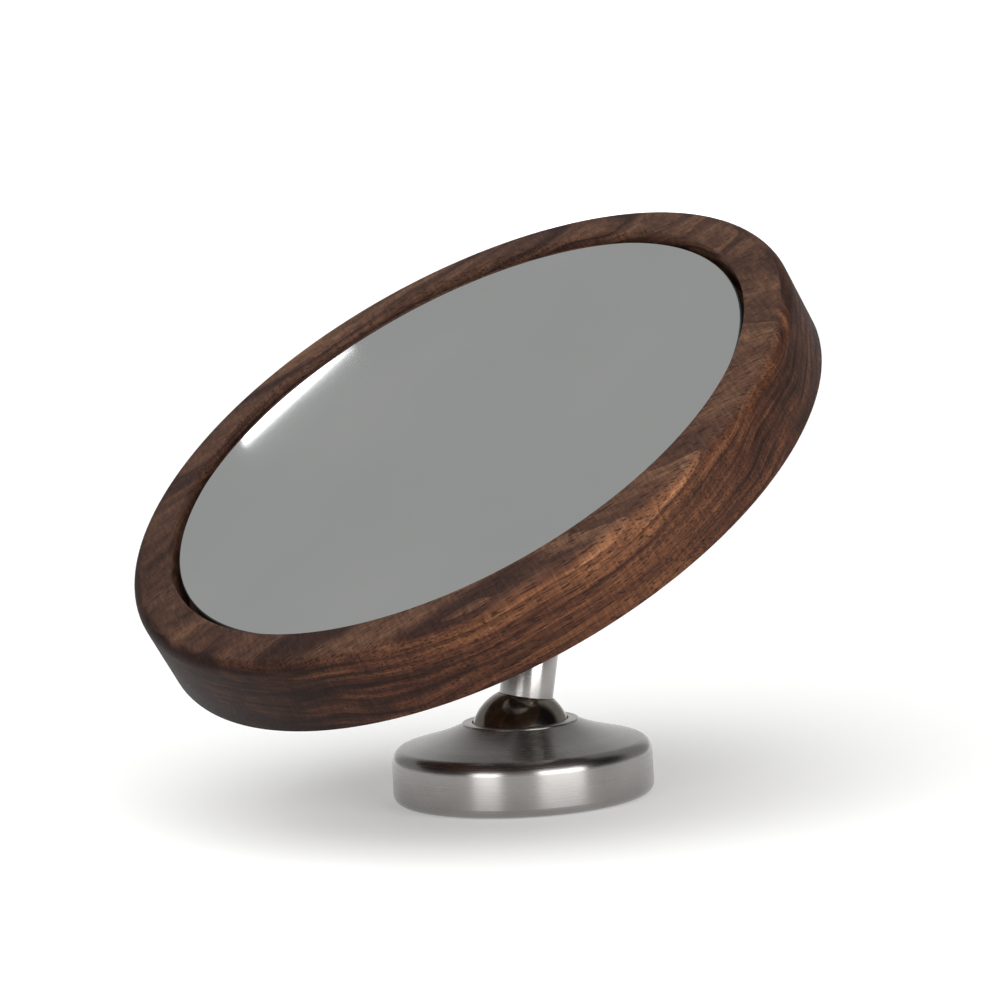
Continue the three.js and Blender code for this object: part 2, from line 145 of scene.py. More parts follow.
def round_ring(piece, radius, height, width, segments=4):
    """Bevels the ring of edges at a radius and height, with the piece still upright on Z."""
    bpy.ops.object.mode_set(mode="EDIT")
    bpy.ops.mesh.select_mode(type="EDGE")
    mesh = bmesh.from_edit_mesh(piece.data)
    near = 0.01 * mm
    for edge in mesh.edges:
        on_ring = [
            abs(corner.co.xy.length - radius) < near and abs(corner.co.z - height) < near
            for corner in edge.verts
        ]
        edge.select_set(all(on_ring))
    bmesh.update_edit_mesh(piece.data)
    bpy.ops.mesh.bevel(offset=width, segments=segments, profile=0.5, affect="EDGES")
    bpy.ops.mesh.select_all(action="DESELECT")
    bpy.ops.object.mode_set(mode="OBJECT")


def drill(piece, tool):
    """Cuts `tool` out of `piece` and throws the tool away."""
    cutter = piece.modifiers.new("drill", "BOOLEAN")
    cutter.object = tool
    cutter.operation = "DIFFERENCE"
    cutter.solver = "EXACT"
    bpy.context.view_layer.objects.active = piece
    bpy.ops.object.modifier_apply(modifier=cutter.name)
    bpy.data.objects.remove(tool)


def settle(piece, place=base_place, sharp=30):
    """Puts a finished piece in its place, with the place in its mesh, and smooths its round faces."""
    bpy.ops.object.select_all(action="DESELECT")
    piece.select_set(True)
    bpy.context.view_layer.objects.active = piece
    piece.matrix_world = place @ piece.matrix_world
    bpy.ops.object.transform_apply(location=True, rotation=True, scale=True)
    bpy.ops.object.shade_smooth_by_angle(angle=math.radians(sharp))
    piece.select_set(False)
    return piece


def hand_over(piece, node, body, material):
    """Lets a fine piece stand for a CAD node, on its body and in its finish."""
    piece.data.materials.clear()
    piece.data.materials.append(material)
    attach(piece, body)
    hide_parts(node)


# ---- Ways of painting ----


def colour(code):
    """A linear colour from an sRGB hex value."""
    channels = [int(code[i : i + 2], 16) / 255 for i in (1, 3, 5)]
    linear = [c / 12.92 if c <= 0.04045 else ((c + 0.055) / 1.055) ** 2.4 for c in channels]
    return (*linear, 1.0)


def add(tree, kind, inputs=(), **settings):
    """One node of a kind, with its settings made and each input given a value or a link.

    `inputs` goes by name, or is a list in the node's own order. A node stands for its first output.
    """
    node = tree.nodes.new(kind)
    for name, value in settings.items():
        setattr(node, name, value)
    for key, value in inputs.items() if isinstance(inputs, dict) else enumerate(inputs):
        by_name = [s for s in node.inputs if s.enabled and s.name == key]
        socket = by_name[0] if by_name else node.inputs[key]
        if isinstance(value, bpy.types.Node):
            value = next(s for s in value.outputs if s.enabled)
        if isinstance(value, bpy.types.NodeSocket):
            tree.links.new(value, socket)
        else:
            socket.default_value = value
    return node


def ramp(node, stops):
    """Sets a colour ramp's stops, each a place from 0 to 1 and an sRGB hex colour."""
    elements = node.color_ramp.elements
    while len(elements) < len(stops):
        elements.new(0.5)
    for element, (place, code) in zip(elements, stops):
        element.position = place
        element.color = colour(code)
    return node


def new_material(name):
    """An empty material and its node tree."""
    material = bpy.data.materials.new(name)
    material.use_nodes = True
    material.node_tree.nodes.clear()
    return material, material.node_tree


def close_material(tree, inputs):
    """Ends a material with its shader."""
    shader = add(tree, "ShaderNodeBsdfPrincipled", inputs)
    add(tree, "ShaderNodeOutputMaterial", {"Surface": shader.outputs["BSDF"]})


def turned_lines(tree, place, pitch):
    """Noise that runs in rings about a turned piece's axis, a pitch apart across them."""
    inverse = place.inverted()
    local = add(
        tree,
        "ShaderNodeMapping",
        {
            "Vector": add(tree, "ShaderNodeTexCoord").outputs["Object"],
            "Location": inverse.translation,
            "Rotation": inverse.to_euler(),
        },
    )
    parts = add(tree, "ShaderNodeSeparateXYZ", [local])
    flat = add(tree, "ShaderNodeCombineXYZ", [parts.outputs["X"], parts.outputs["Y"]])
    radius = add(tree, "ShaderNodeVectorMath", [flat], operation="LENGTH")
    across = add(tree, "ShaderNodeCombineXYZ", [radius, parts.outputs["Z"]])
    noise = {"Vector": across, "Scale": 1 / pitch, "Detail": 2.0, "Roughness": 0.6}
    return add(tree, "ShaderNodeTexNoise", noise)


def clouds(tree, size, detail):
    """Soft noise with patches of a given size, the same in every direction."""
    place = add(tree, "ShaderNodeTexCoord").outputs["Object"]
    return add(tree, "ShaderNodeTexNoise", {"Vector": place, "Scale": 1 / size, "Detail": detail})


def stretched(tree, vector, size, detail=2.0, roughness=0.55):
    """Noise whose features are `size` long, wide and deep."""
    scale = [1 / length for length in size]
    scaled = add(tree, "ShaderNodeMapping", {"Vector": vector, "Scale": scale})
    noise = {"Vector": scaled, "Scale": 1.0, "Detail": detail, "Roughness": roughness}
    return add(tree, "ShaderNodeTexNoise", noise)


# ---- Finishes ----


def satin_nickel(place, around):
    """Nickel plate over turned brass, brushed on the lathe: highlights drawn out across the lines.

    `around` adds the stretched highlight, for pieces whose axis is near upright.
    """
    material, tree = new_material("satin_nickel_plate")
    lines = turned_lines(tree, place, 0.35 * mm)  # real brush lines are finer than this
    patches = clouds(tree, 14 * mm, 3.0)
    tint = ramp(add(tree, "ShaderNodeValToRGB", [patches]), [(0.3, "#979492"), (0.7, "#a29f9d")])
    bump = {"Height": lines, "Strength": 0.05, "Distance": 0.05 * mm}
    inputs = {
        "Base Color": tint,
        "Metallic": 1.0,
        "Roughness": add(tree, "ShaderNodeMapRange", {"Value": lines, "To Min": 0.2, "To Max": 0.32}),
        "Normal": add(tree, "ShaderNodeBump", bump),
    }
    if around:
        inputs["Anisotropic"] = 0.75
        inputs["Anisotropic Rotation"] = 0.25
        inputs["Tangent"] = add(tree, "ShaderNodeTangent", direction_type="RADIAL", axis="Z")
    close_material(tree, inputs)
    return material


def polished_nickel():
    """Polished nickel plate: a clear dark reflection, a slight warm cast and faint buffing haze."""
    material, tree = new_material("polished_nickel_plate")
    haze = clouds(tree, 3 * mm, 4.0)
    tint = ramp(add(tree, "ShaderNodeValToRGB", [haze]), [(0.3, "#7f776d"), (0.7, "#8d867c")])
    rough = add(tree, "ShaderNodeMapRange", {"Value": haze, "To Min": 0.1, "To Max": 0.2})
    close_material(tree, {"Base Color": tint, "Metallic": 1.0, "Roughness": rough})
    return material


def zinc_steel():
    """Zinc-plated steel: cool grey metal with a cloudy spangle and a blue-yellow cast."""
    material, tree = new_material("zinc_plated_steel")
    spangle = clouds(tree, 2.5 * mm, 5.0)
    tint = ramp(add(tree, "ShaderNodeValToRGB", [spangle]), [(0.35, "#a2a6a8"), (0.65, "#c0bfb4")])
    rough = add(tree, "ShaderNodeMapRange", {"Value": spangle, "To Min": 0.35, "To Max": 0.5})
    close_material(tree, {"Base Color": tint, "Metallic": 1.0, "Roughness": rough})
    return material


def spring_steel():
    """Blue-tempered spring steel strip: dark metal with a faint oxide cloud."""
    material, tree = new_material("tempered_spring_steel")
    oxide = clouds(tree, 4 * mm, 3.0)
    tint = ramp(add(tree, "ShaderNodeValToRGB", [oxide]), [(0.3, "#5d5a58"), (0.7, "#7c7773")])
    close_material(tree, {"Base Color": tint, "Metallic": 1.0, "Roughness": 0.3})
    return material


def acetal():
    """Turned acetal: waxy off-white plastic with fine tool lines."""
    material, tree = new_material("turned_acetal")
    lines = turned_lines(tree, base_place, 0.25 * mm)
    tint = ramp(add(tree, "ShaderNodeValToRGB", [lines]), [(0.3, "#dedbd1"), (0.7, "#e8e5dc")])
    close_material(tree, {"Base Color": tint, "Roughness": 0.42, "Subsurface Weight": 0.05})
    return material


def grained_soft(name, dark, light, grain, roughness):
    """Matt soft sheet, such as rubber or silicone foam, with a fine grain pressed into its skin."""
    material, tree = new_material(name)
    skin = clouds(tree, grain, 3.0)
    tint = ramp(add(tree, "ShaderNodeValToRGB", [skin]), [(0.35, dark), (0.65, light)])
    bump = add(tree, "ShaderNodeBump", {"Height": skin, "Strength": 0.3, "Distance": 0.1 * mm})
    close_material(tree, {"Base Color": tint, "Roughness": roughness, "Normal": bump})
    return material


def silvered_glass():
    """Float glass, slumped to a shallow dish and silvered behind: a clear, slightly grey mirror."""
    material, tree = new_material("silvered_float_glass")
    film = clouds(tree, 60 * mm, 2.0)
    tint = ramp(add(tree, "ShaderNodeValToRGB", [film]), [(0.35, "#e3e6e4"), (0.65, "#e8eae8")])
    rough = add(tree, "ShaderNodeMapRange", {"Value": film, "To Min": 0.02, "To Max": 0.045})
    close_material(tree, {"Base Color": tint, "Metallic": 1.0, "Roughness": rough})
    return material


def glass_edge():
    """Ground edge of the glass: frosted, dark green-grey."""
    material, tree = new_material("ground_glass_edge")
    grit = clouds(tree, 0.6 * mm, 2.0)
    tint = ramp(add(tree, "ShaderNodeValToRGB", [grit]), [(0.3, "#2b312f"), (0.7, "#48504d")])
    close_material(tree, {"Base Color": tint, "Roughness": 0.4, "IOR": 1.52})
    return material


# The board lies in the mirror's plane, with its grain this way in the head's own X and Y.
grain_x, grain_y = 0.57, 0.82
pith_across = 24 * mm  # where the tree's heart lies, across the grain from the frame's axis
pith_below = 360 * mm  # and how far behind the frame's front
pith_tilt = math.radians(2.5)  # the board was not sawn quite along the tree
ring_width = 3.4 * mm


def walnut(centre):
    """American black walnut, turned and oiled: brown and tan bands, long streaks, short dark pores.

    The pattern is solid, as wood is: broad bands on the face and fine lines along the side wall.
    """
    material, tree = new_material("oiled_walnut")
    side, up = head_place.col[0].xyz, head_place.col[1].xyz
    grain = (side * grain_x + up * grain_y).normalized()
    normal = head_place.col[2].xyz.normalized()
    board = Matrix((grain, normal.cross(grain), normal)).to_4x4() @ Matrix.Translation(-centre)
    in_board = add(
        tree,
        "ShaderNodeMapping",
        {
            "Vector": add(tree, "ShaderNodeTexCoord").outputs["Object"],
            "Location": board.translation,
            "Rotation": board.to_euler(),
        },
    )
    place = add(tree, "ShaderNodeSeparateXYZ", [in_board])
    along, across, depth = (place.outputs[axis] for axis in "XYZ")

    # the trunk's slow bends push its layers about
    wander = stretched(tree, in_board, (110 * mm, 40 * mm, 40 * mm), roughness=0.5).outputs["Color"]
    offset = add(tree, "ShaderNodeVectorMath", [wander, (0.5, 0.5, 0.5)], operation="SUBTRACT")
    shift = [offset, (0.0, 16 * mm, 16 * mm), in_board]
    bent = add(tree, "ShaderNodeVectorMath", shift, operation="MULTIPLY_ADD")
    from_heart = add(
        tree,
        "ShaderNodeMapping",
        {
            "Vector": bent,
            "Location": (0.0, pith_across, pith_below),
            "Rotation": (0.0, pith_tilt, 0.0),
        },
    )
    trunk = add(tree, "ShaderNodeSeparateXYZ", [from_heart])
    trunk_x, trunk_y, trunk_z = (trunk.outputs[axis] for axis in "XYZ")
    section = add(tree, "ShaderNodeCombineXYZ", {"Y": trunk_y, "Z": trunk_z})
    age = add(tree, "ShaderNodeVectorMath", [section], operation="LENGTH")
    angle = add(tree, "ShaderNodeMath", [trunk_y, trunk_z], operation="ARCTAN2")
    round_trunk = add(tree, "ShaderNodeMath", [angle, pith_below], operation="MULTIPLY")
    layers = add(tree, "ShaderNodeCombineXYZ", [trunk_x, age, round_trunk])

    bands = stretched(tree, layers, (260 * mm, 8 * mm, 90 * mm))
    streaks = stretched(tree, layers, (46 * mm, 1.6 * mm, 14 * mm), detail=4.0, roughness=0.6)
    mottle = stretched(tree, in_board, (26 * mm, 12 * mm, 12 * mm))
    fibre = stretched(tree, in_board, (9 * mm, 0.5 * mm, 0.5 * mm), detail=3.0, roughness=0.65)

    # growth lines: each year ends in a thin dark line, stronger in some places than in others
    years = add(tree, "ShaderNodeMath", [age, ring_width], operation="DIVIDE")
    season = add(tree, "ShaderNodeMath", [years], operation="FRACT")
    late = add(tree, "ShaderNodeMapRange", [season, 0.6, 1.0])
    patchy = add(tree, "ShaderNodeMapRange", [mottle, 0.35, 0.6, 0.25, 1.0])
    line = add(tree, "ShaderNodeMath", [late, patchy], operation="MULTIPLY")

    # the side wall is darker towards both ends along the grain, and a little lighter between them
    flat = add(tree, "ShaderNodeCombineXYZ", [along, across])
    out = add(tree, "ShaderNodeVectorMath", [flat], operation="LENGTH")
    wall = add(tree, "ShaderNodeMapRange", [out, 96.5 * mm, 99.5 * mm])
    near_end = add(tree, "ShaderNodeMapRange", [along, -90 * mm, 15 * mm, 0.19, -0.08])
    far_end = add(tree, "ShaderNodeMapRange", [along, 35 * mm, 85 * mm, 0.0, 0.13])
    darkening_along = add(tree, "ShaderNodeMath", [near_end, far_end], operation="ADD")
    wall_end_darkening = add(tree, "ShaderNodeMath", [wall, darkening_along], operation="MULTIPLY")

    # painted highlight: a paler band just behind the front edge, on its rounding, along one side
    below = add(tree, "ShaderNodeMapRange", [depth, -6 * mm, -3.5 * mm])
    above = add(tree, "ShaderNodeMapRange", [depth, -2.5 * mm, -1.2 * mm, 1.0, 0.0])
    highlight_band = add(tree, "ShaderNodeMath", [below, above], operation="MULTIPLY")
    one_side = add(tree, "ShaderNodeMapRange", [across, -90 * mm, -60 * mm, 0.05, 0.0])
    painted_edge_highlight = add(tree, "ShaderNodeMath", [highlight_band, one_side], operation="MULTIPLY")

    # streaks stand out on the side wall
    uneven = add(tree, "ShaderNodeMath", [streaks, 0.48], operation="SUBTRACT")
    strong = add(tree, "ShaderNodeMath", [wall, uneven], operation="MULTIPLY")

    tone = -0.145
    for part, weight in (
        (bands, 0.42),
        (streaks, 0.44),
        (strong, 0.2),
        (mottle, 0.2),
        (fibre, 0.22),
        (painted_edge_highlight, 1.0),
        (line, -0.13),
        (wall_end_darkening, -1.0),
    ):
        tone = add(tree, "ShaderNodeMath", [part, weight, tone], operation="MULTIPLY_ADD")
    body = ramp(
        add(tree, "ShaderNodeValToRGB", [tone]),
        [
            (0.28, "#1f120f"),
            (0.40, "#33211b"),
            (0.52, "#4d3529"),
            (0.66, "#6d4f3b"),
            (0.80, "#96745a"),
        ],
    )

    # open pores, short dashes along the grain and dots across it
    holes = (3.6 * mm, 0.42 * mm, 0.42 * mm)
    pores = stretched(tree, in_board, holes, detail=1.0, roughness=0.4)
    pore = add(tree, "ShaderNodeMapRange", [pores, 0.57, 0.66, 0.0, 0.75])
    pored = {"Factor": pore, "A": body, "B": colour("#1b0d09")}
    pored = add(tree, "ShaderNodeMix", pored, data_type="RGBA")

    # the side wall comes out deeper and redder than the face
    oiled = {"Factor": wall, "A": pored, "B": colour("#e6cdb8")}
    oiled = add(tree, "ShaderNodeMix", oiled, data_type="RGBA", blend_type="MULTIPLY")

    # painted sheen: short lighter and darker ticks across the grain, where the fibres lean out of the
    # face
    ticks = stretched(tree, in_board, (0.8 * mm, 5 * mm, 5 * mm), detail=1.0)
    painted_sheen = add(tree, "ShaderNodeMapRange", [ticks, 0.4, 0.7, 0.84, 1.24])
    lit = add(tree, "ShaderNodeVectorMath", {0: oiled, "Scale": painted_sheen}, operation="SCALE")

    raised = add(tree, "ShaderNodeMath", [fibre, 0.4], operation="MULTIPLY")
    height = add(tree, "ShaderNodeMath", [raised, pore], operation="SUBTRACT")
    bump = {"Height": height, "Strength": 0.4, "Distance": 0.1 * mm}
    close_material(
        tree,
        {
            "Base Color": lit,
            "Roughness": add(tree, "ShaderNodeMapRange", [fibre, 0.3, 0.7, 0.5, 0.66]),
            "Specular IOR Level": 0.12,
            "Normal": add(tree, "ShaderNodeBump", bump),
        },
    )
    return material


# ---- Pieces of the head ----

screws = [f"flange_screw_{i}" for i in (1, 2, 3, 4)]


def screw_place(node):
    """Where a flange screw stands in the head's frame: its X and Y, and the ends of its length."""
    points = [head_place.inverted() @ corner.co for corner in frame["nodes"][node].data.vertices]
    middle = [(min(p[i] for p in points) + max(p[i] for p in points)) / 2 for i in (0, 1)]
    heights = [p.z for p in points]
    return middle[0], middle[1], min(heights), max(heights)


def make_frame(material):
    """Disc turned from one board, with a rounded front edge, a pocket, and pilot holes behind."""
    _, radius, back, front = reach("wood_frame", head_place)
    _, glass_radius, _, _ = reach("mirror_glass", head_place)
    _, _, bed_bottom, _ = reach("mirror_bed", head_place)
    pocket = glass_radius + 1.9 * mm
    floor = bed_bottom - gap
    edge = front - 0.9 * mm  # the face rises a little from its edge to the pocket
    fillet = 3.8 * mm
    outline = [
        (0, back),
        (radius, back),
        (radius, edge),
        (radius - fillet, edge),
        (pocket, front),
        (pocket, floor),
        (0, floor),
    ]
    piece = turned("walnut_frame", outline, sides=frame_sides)
    round_ring(piece, radius, edge, fillet, segments=10)
    round_ring(piece, radius, back, 0.5 * mm, segments=3)
    round_ring(piece, pocket, front, 0.5 * mm, segments=3)
    for screw in screws:
        x, y, _, tip = screw_place(screw)
        bpy.ops.mesh.primitive_cylinder_add(
            vertices=24,
            radius=screw_shank + gap,
            depth=2 * (tip + gap - back),
            location=(x, y, back),
        )
        drill(piece, bpy.context.object)
    settle(piece, head_place)
    hand_over(piece, "wood_frame", "mirror_head", material)


def make_glass(face, edge):
    """Dished glass with a ground bevel round its rim."""
    _, radius, back, front = reach("mirror_glass", head_place)
    curve = 1000 * mm  # radius of the magnifying dish
    middle = front - (curve - math.sqrt(curve**2 - radius**2))
    thickness = middle - back
    steps = 24
    across = [radius * i / steps for i in range(steps + 1)]
    dish = [(r, middle + curve - math.sqrt(curve**2 - r**2)) for r in across]
    outline = [(r, height - thickness) for r, height in dish] + dish[::-1]
    piece = turned("dished_glass", outline, sides=frame_sides)
    round_ring(piece, radius, front, 0.3 * mm, segments=1)
    piece.data.materials.append(face)
    settle(piece, head_place, sharp=20)
    hand_over(piece, "mirror_glass", "mirror_head", face)
    piece.data.materials.append(edge)
    for polygon in piece.data.polygons:
        faces_out = abs(polygon.normal.dot(mirror_axis)) > 0.9
        polygon.material_index = 0 if faces_out else 1


def make_head_socket(material):
    """Turned bell with a lip over the ball and a flange that is screwed to the frame."""
    _, flange_radius, lip_end, flange_back = reach("head_socket", head_place)
    lip, lip_round = 16.37 * mm, 0.8 * mm
    neck = 18.5 * mm
    neck_foot = 4.6 * mm
    flange = flange_back - 3 * mm
    fillet = 3 * mm
    rim_round = 0.8 * mm
    bore = 15.7 * mm
    bore_foot = 4.3 * mm
    outline = [
        *arc(lip - lip_round, lip_end + lip_round, lip_round, -90, 0),
        (neck, neck_foot),
        *arc(neck + fillet, flange - fillet, fillet, 180, 90),
        *arc(flange_radius - rim_round, flange + rim_round, rim_round, -90, 0),
        (flange_radius, flange_back),
        (bore, flange_back),
        (bore, bore_foot),
        (seat_radius, bore_foot),
        *arc(0, 0, seat_radius, 0, -angle_at(-lip_end, seat_radius)),
    ]
    outline.append(outline[0])
    piece = turned("head_bell", outline)
    head, shank = screw_head + gap, screw_shank + gap
    for screw in screws:
        x, y, bottom, _ = screw_place(screw)
        tool = turned(
            "countersink",
            [
                (0, bottom - mm),
                (head, bottom - mm),
                (head, bottom + head_land),
                (shank, bottom + head_land + head - shank),
                (shank, flange_back + mm),
                (0, flange_back + mm),
            ],
            sides=small_sides,
        )
        tool.location = (x, y, 0)
        bpy.context.view_layer.update()
        drill(piece, tool)
    settle(piece, head_place)
    hand_over(piece, "head_socket", "mirror_head", material)


def make_flange_screws(material):
    """Countersunk wood screws with a cross recess, one modelled and copied to four places."""
    _, _, bottom, tip = screw_place(screws[0])
    head, shank, core = screw_head, screw_shank, screw_shank - 0.35 * mm
    length, point = tip - bottom, 3.4 * mm
    thread_start, thread_pitch = 2.6 * mm, 1.4 * mm
    outline = [(0, 0), (head, 0), (head, head_land), (shank, head_land + head - shank)]
    height = thread_start
    while height < length - point:
        outline += [
            (shank, height + 0.25 * thread_pitch),
            (core, height + 0.4 * thread_pitch),
            (core, height + 0.85 * thread_pitch),
            (shank, height + thread_pitch),
        ]
        height += thread_pitch
    outline.append((0, length))
    first = turned("screw", outline, sides=small_sides)
    drill(first, cross_tool(width=0.9 * mm, arm=1.25 * mm, deeper=mm))
    round_ring(first, head, 0, 0.12 * mm, segments=2)
    for node in screws:
        x, y, bottom, _ = screw_place(node)
        piece = first.copy()
        piece.data = first.data.copy()
        piece.name = node.replace("flange_screw", "wood_screw")
        bpy.context.scene.collection.objects.link(piece)
        piece.location = (x, y, bottom)
        bpy.context.view_layer.update()
        settle(piece, head_place)
        hand_over(piece, node, "mirror_head", material)
    bpy.data.objects.remove(first)


def cross_tool(width, arm, deeper):
    """Tool for a cross recess: a small block with four arms, drawn down to a narrower end."""
    bpy.ops.mesh.primitive_cube_add(size=width, location=(0, 0, 0))
    cross = bpy.context.object
    bpy.ops.object.transform_apply(location=True, rotation=False, scale=False)
    bpy.ops.object.mode_set(mode="EDIT")
    for direction in (Vector((1, 0, 0)), Vector((-1, 0, 0)), Vector((0, 1, 0)), Vector((0, -1, 0))):
        bpy.ops.mesh.select_mode(type="FACE")
        bpy.ops.mesh.select_all(action="DESELECT")
        mesh = bmesh.from_edit_mesh(cross.data)
        mesh.normal_update()
        outward = [f for f in mesh.faces if f.normal.dot(direction) > 0.9]
        farthest = max(outward, key=lambda f: f.calc_center_median().dot(direction))
        farthest.select_set(True)
        bmesh.update_edit_mesh(cross.data)
        bpy.ops.mesh.extrude_region_move(TRANSFORM_OT_translate={"value": direction * arm})
    bpy.ops.mesh.select_mode(type="FACE")
    bpy.ops.mesh.select_all(action="DESELECT")
    mesh = bmesh.from_edit_mesh(cross.data)
    mesh.normal_update()
    for face in mesh.faces:
        face.select_set(face.normal.z > 0.9)
    bmesh.update_edit_mesh(cross.data)
    bpy.ops.transform.translate(value=(0, 0, deeper))
    bpy.ops.transform.resize(value=(0.55, 0.55, 1))
    bpy.ops.object.mode_set(mode="OBJECT")
    return cross


# ---- Pieces of the arm ----


def make_base_ball(material):
    """Polished ball with a seat for the tube and a bore for the rod."""
    seat, seat_floor = 7.8 * mm, 5 * mm
    bore, bore_floor = 6.2 * mm, -8 * mm
    mouth = math.sqrt(ball_radius**2 - seat**2)
    outline = [
        (0, -ball_radius),
        *arc(0, 0, ball_radius, -88, angle_at(mouth, ball_radius), steps=40),
        (seat, seat_floor),
        (bore, seat_floor),
        (bore, bore_floor),
        (0, bore_floor),
    ]
    piece = turned("base_ball_fine", outline, sides=ball_sides)
    round_ring(piece, seat, mouth, 0.25 * mm, segments=3)
    settle(piece, arm_place)
    hand_over(piece, "base_ball", "outer_arm", material)


def make_outer_tube(material):
    """Drawn tube, its four edges just broken."""
    inner, outer, bottom, top = reach("outer_tube", arm_place)
    outline = [(inner, bottom), (outer, bottom), (outer, top), (inner, top), (inner, bottom)]
    piece = turned("arm_tube", outline, sides=ball_sides)
    for radius in (inner, outer):
        round_ring(piece, radius, top, 0.15 * mm, segments=2)
        round_ring(piece, radius, bottom, 0.15 * mm, segments=2)
    settle(piece, arm_place)
    hand_over(piece, "outer_tube", "outer_arm", material)


def make_tube_cap(material):
    """Turned cap that closes the tube round the rod, well rounded at its outer edge."""
    inner, outer, bottom, top = reach("tube_end_cap", arm_place)
    outline = [(inner, bottom), (outer, bottom), (outer, top), (inner, top), (inner, bottom)]
    piece = turned("arm_tube_cap", outline, sides=ball_sides)
    round_ring(piece, outer, top, 0.65 * mm, segments=6)
    round_ring(piece, inner, top, 0.25 * mm, segments=3)
    round_ring(piece, outer, bottom, 0.12 * mm, segments=2)
    settle(piece, arm_place)
    hand_over(piece, "tube_end_cap", "outer_arm", material)


def make_inner_rod(material):
    """Solid rod with a neck for the sleeve and a tapped hole in its foot."""
    _, rod, foot, top = reach("inner_rod", arm_place)
    neck, shoulder = 3 * mm, 1.3 * mm
    hole, hole_depth = 1.8 * mm, 7 * mm
    outline = [
        (0, foot + hole_depth),
        (hole, foot + hole_depth),
        (hole, foot),
        (neck, foot),
        (neck, shoulder),
        (rod, shoulder),
        (rod, top),
        (0, top),
    ]
    piece = turned("arm_rod", outline, sides=ball_sides)
    round_ring(piece, rod, shoulder, 0.3 * mm, segments=3)
    round_ring(piece, rod, top, 0.3 * mm, segments=3)
    round_ring(piece, neck, foot, 0.2 * mm, segments=2)
    settle(piece, arm_place)
    hand_over(piece, "inner_rod", "inner_arm", material)


def make_head_ball(material):
    """Polished ball with a bore that takes the end of the rod."""
    _, _, _, top = reach("head_ball", arm_place)
    _, _, _, rod_top = reach("inner_rod", arm_place)
    hole = 4.8 * mm
    centre = top - ball_radius
    mouth = math.sqrt(ball_radius**2 - hole**2)
    outline = [
        (0, rod_top + gap),
        (hole, rod_top + gap),
        *arc(0, centre, ball_radius, -angle_at(mouth, ball_radius), 88, steps=44),
        (0, top),
    ]
    piece = turned("head_ball_fine", outline, sides=ball_sides)
    round_ring(piece, hole, centre - mouth, 0.2 * mm, segments=3)
    settle(piece, arm_place)
    hand_over(piece, "head_ball", "inner_arm", material)


# ---- Pieces of the base ----


def make_base_cover(material):
    """Spun shell: thick soft-edged rim, low cone, and a flare up to the lip that holds the ball."""
    lip_hole, radius, foot, lip_top = reach("base_cover", base_place)
    _, plate_radius, _, _ = reach("wall_plate", base_place)
    centre = base_ball_centre.z
    wall_top = radius - 0.1 * mm
    foot_fillet, rim_fillet = 2.6 * mm, 3.9 * mm
    rim = 15.8 * mm
    slope = 0.29  # rise of the cone for each millimetre inwards
    lip = lip_hole + 2.95 * mm
    lip_round = 0.5 * mm
    flare_foot, flare_turn = lip + 10.6 * mm, lip + 3.6 * mm
    cavity, roof = plate_radius + gap, rim - 2.5 * mm
    bore, hub, hub_foot = 18.2 * mm, 22 * mm, 2.9 * mm
    seat_floor = centre - 5 * mm

    def cone(at):
        return rim + slope * (wall_top - rim_fillet - at)

    outline = [
        (cavity, foot),
        *arc(radius - foot_fillet, foot + foot_fillet, foot_fillet, -90, 0),
        *arc(wall_top - rim_fillet, rim - rim_fillet, rim_fillet, 0, 76, steps=12),
        *sweep(
            (flare_foot, cone(flare_foot)),
            (flare_turn, cone(flare_turn)),
            (lip, lip_top - lip_round),
            steps=16,
        ),
        *arc(lip - lip_round, lip_top - lip_round, lip_round, 30, 90, steps=4),
        *arc(
            0,
            centre,
            seat_radius,
            angle_at(lip_top - centre, seat_radius),
            angle_at(seat_floor - centre, seat_radius),
            steps=10,
        ),
        (bore, seat_floor),
        (bore, hub_foot),
        (hub, hub_foot),
        (hub, roof),
        (cavity, roof),
        (cavity, foot),
    ]
    piece = turned("base_shell", outline)
    round_ring(piece, lip_hole, lip_top, 0.15 * mm, segments=2)
    low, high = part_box("base_grub_screw")
    middle = (low + high) / 2
    bpy.ops.mesh.primitive_cylinder_add(
        vertices=small_sides,
        radius=(high.x - low.x) / 2 + gap,
        depth=2 * (radius - low.y + mm),
        location=(middle.x, radius, middle.z),
        rotation=(math.pi / 2, 0, 0),
    )
    drill(piece, bpy.context.object)
    settle(piece)
    hand_over(piece, "base_cover", "base", material)


def make_grub_screw(material):
    """Set screw with a six-sided socket, turned upright and then laid in its hole."""
    low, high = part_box("base_grub_screw")
    middle = (low + high) / 2
    radius = (high.x - low.x) / 2
    length = high.y - low.y
    point, rim = 0.5 * mm, 0.2 * mm
    socket, socket_depth = 1.1 * mm, 2 * mm
    pitch, thread_depth = 0.7 * mm, 0.25 * mm
    outline = [(0, 0), (radius - point, 0), (radius, point)]
    height = point
    while height + pitch < length - 2 * rim:
        outline += [(radius - thread_depth, height + 0.5 * pitch), (radius, height + pitch)]
        height += pitch
    outline += [(radius, length - rim), (radius - rim, length), (0, length)]
    piece = turned("set_screw", outline, sides=small_sides)
    bpy.ops.mesh.primitive_cylinder_add(
        vertices=6, radius=socket, depth=2 * socket_depth, location=(0, 0, length)
    )
    drill(piece, bpy.context.object)
    lying = Matrix.Translation((middle.x, low.y, middle.z)) @ Matrix.Rotation(-math.pi / 2, 4, "X")
    settle(piece, lying)
    hand_over(piece, "base_grub_screw", "base", material)


wall_screw_hole = 2.3 * mm


def wall_holes(piece, bottom, top, radius):
    """Three screw holes through a disc of the base."""
    circle = 25 * mm
    for turn in (90, 210, 330):
        angle = math.radians(turn)
        bpy.ops.mesh.primitive_cylinder_add(
            vertices=small_sides,
            radius=radius,
            depth=2 * (top - bottom),
            location=(circle * math.cos(angle), circle * math.sin(angle), (top + bottom) / 2),
        )
        drill(piece, bpy.context.object)


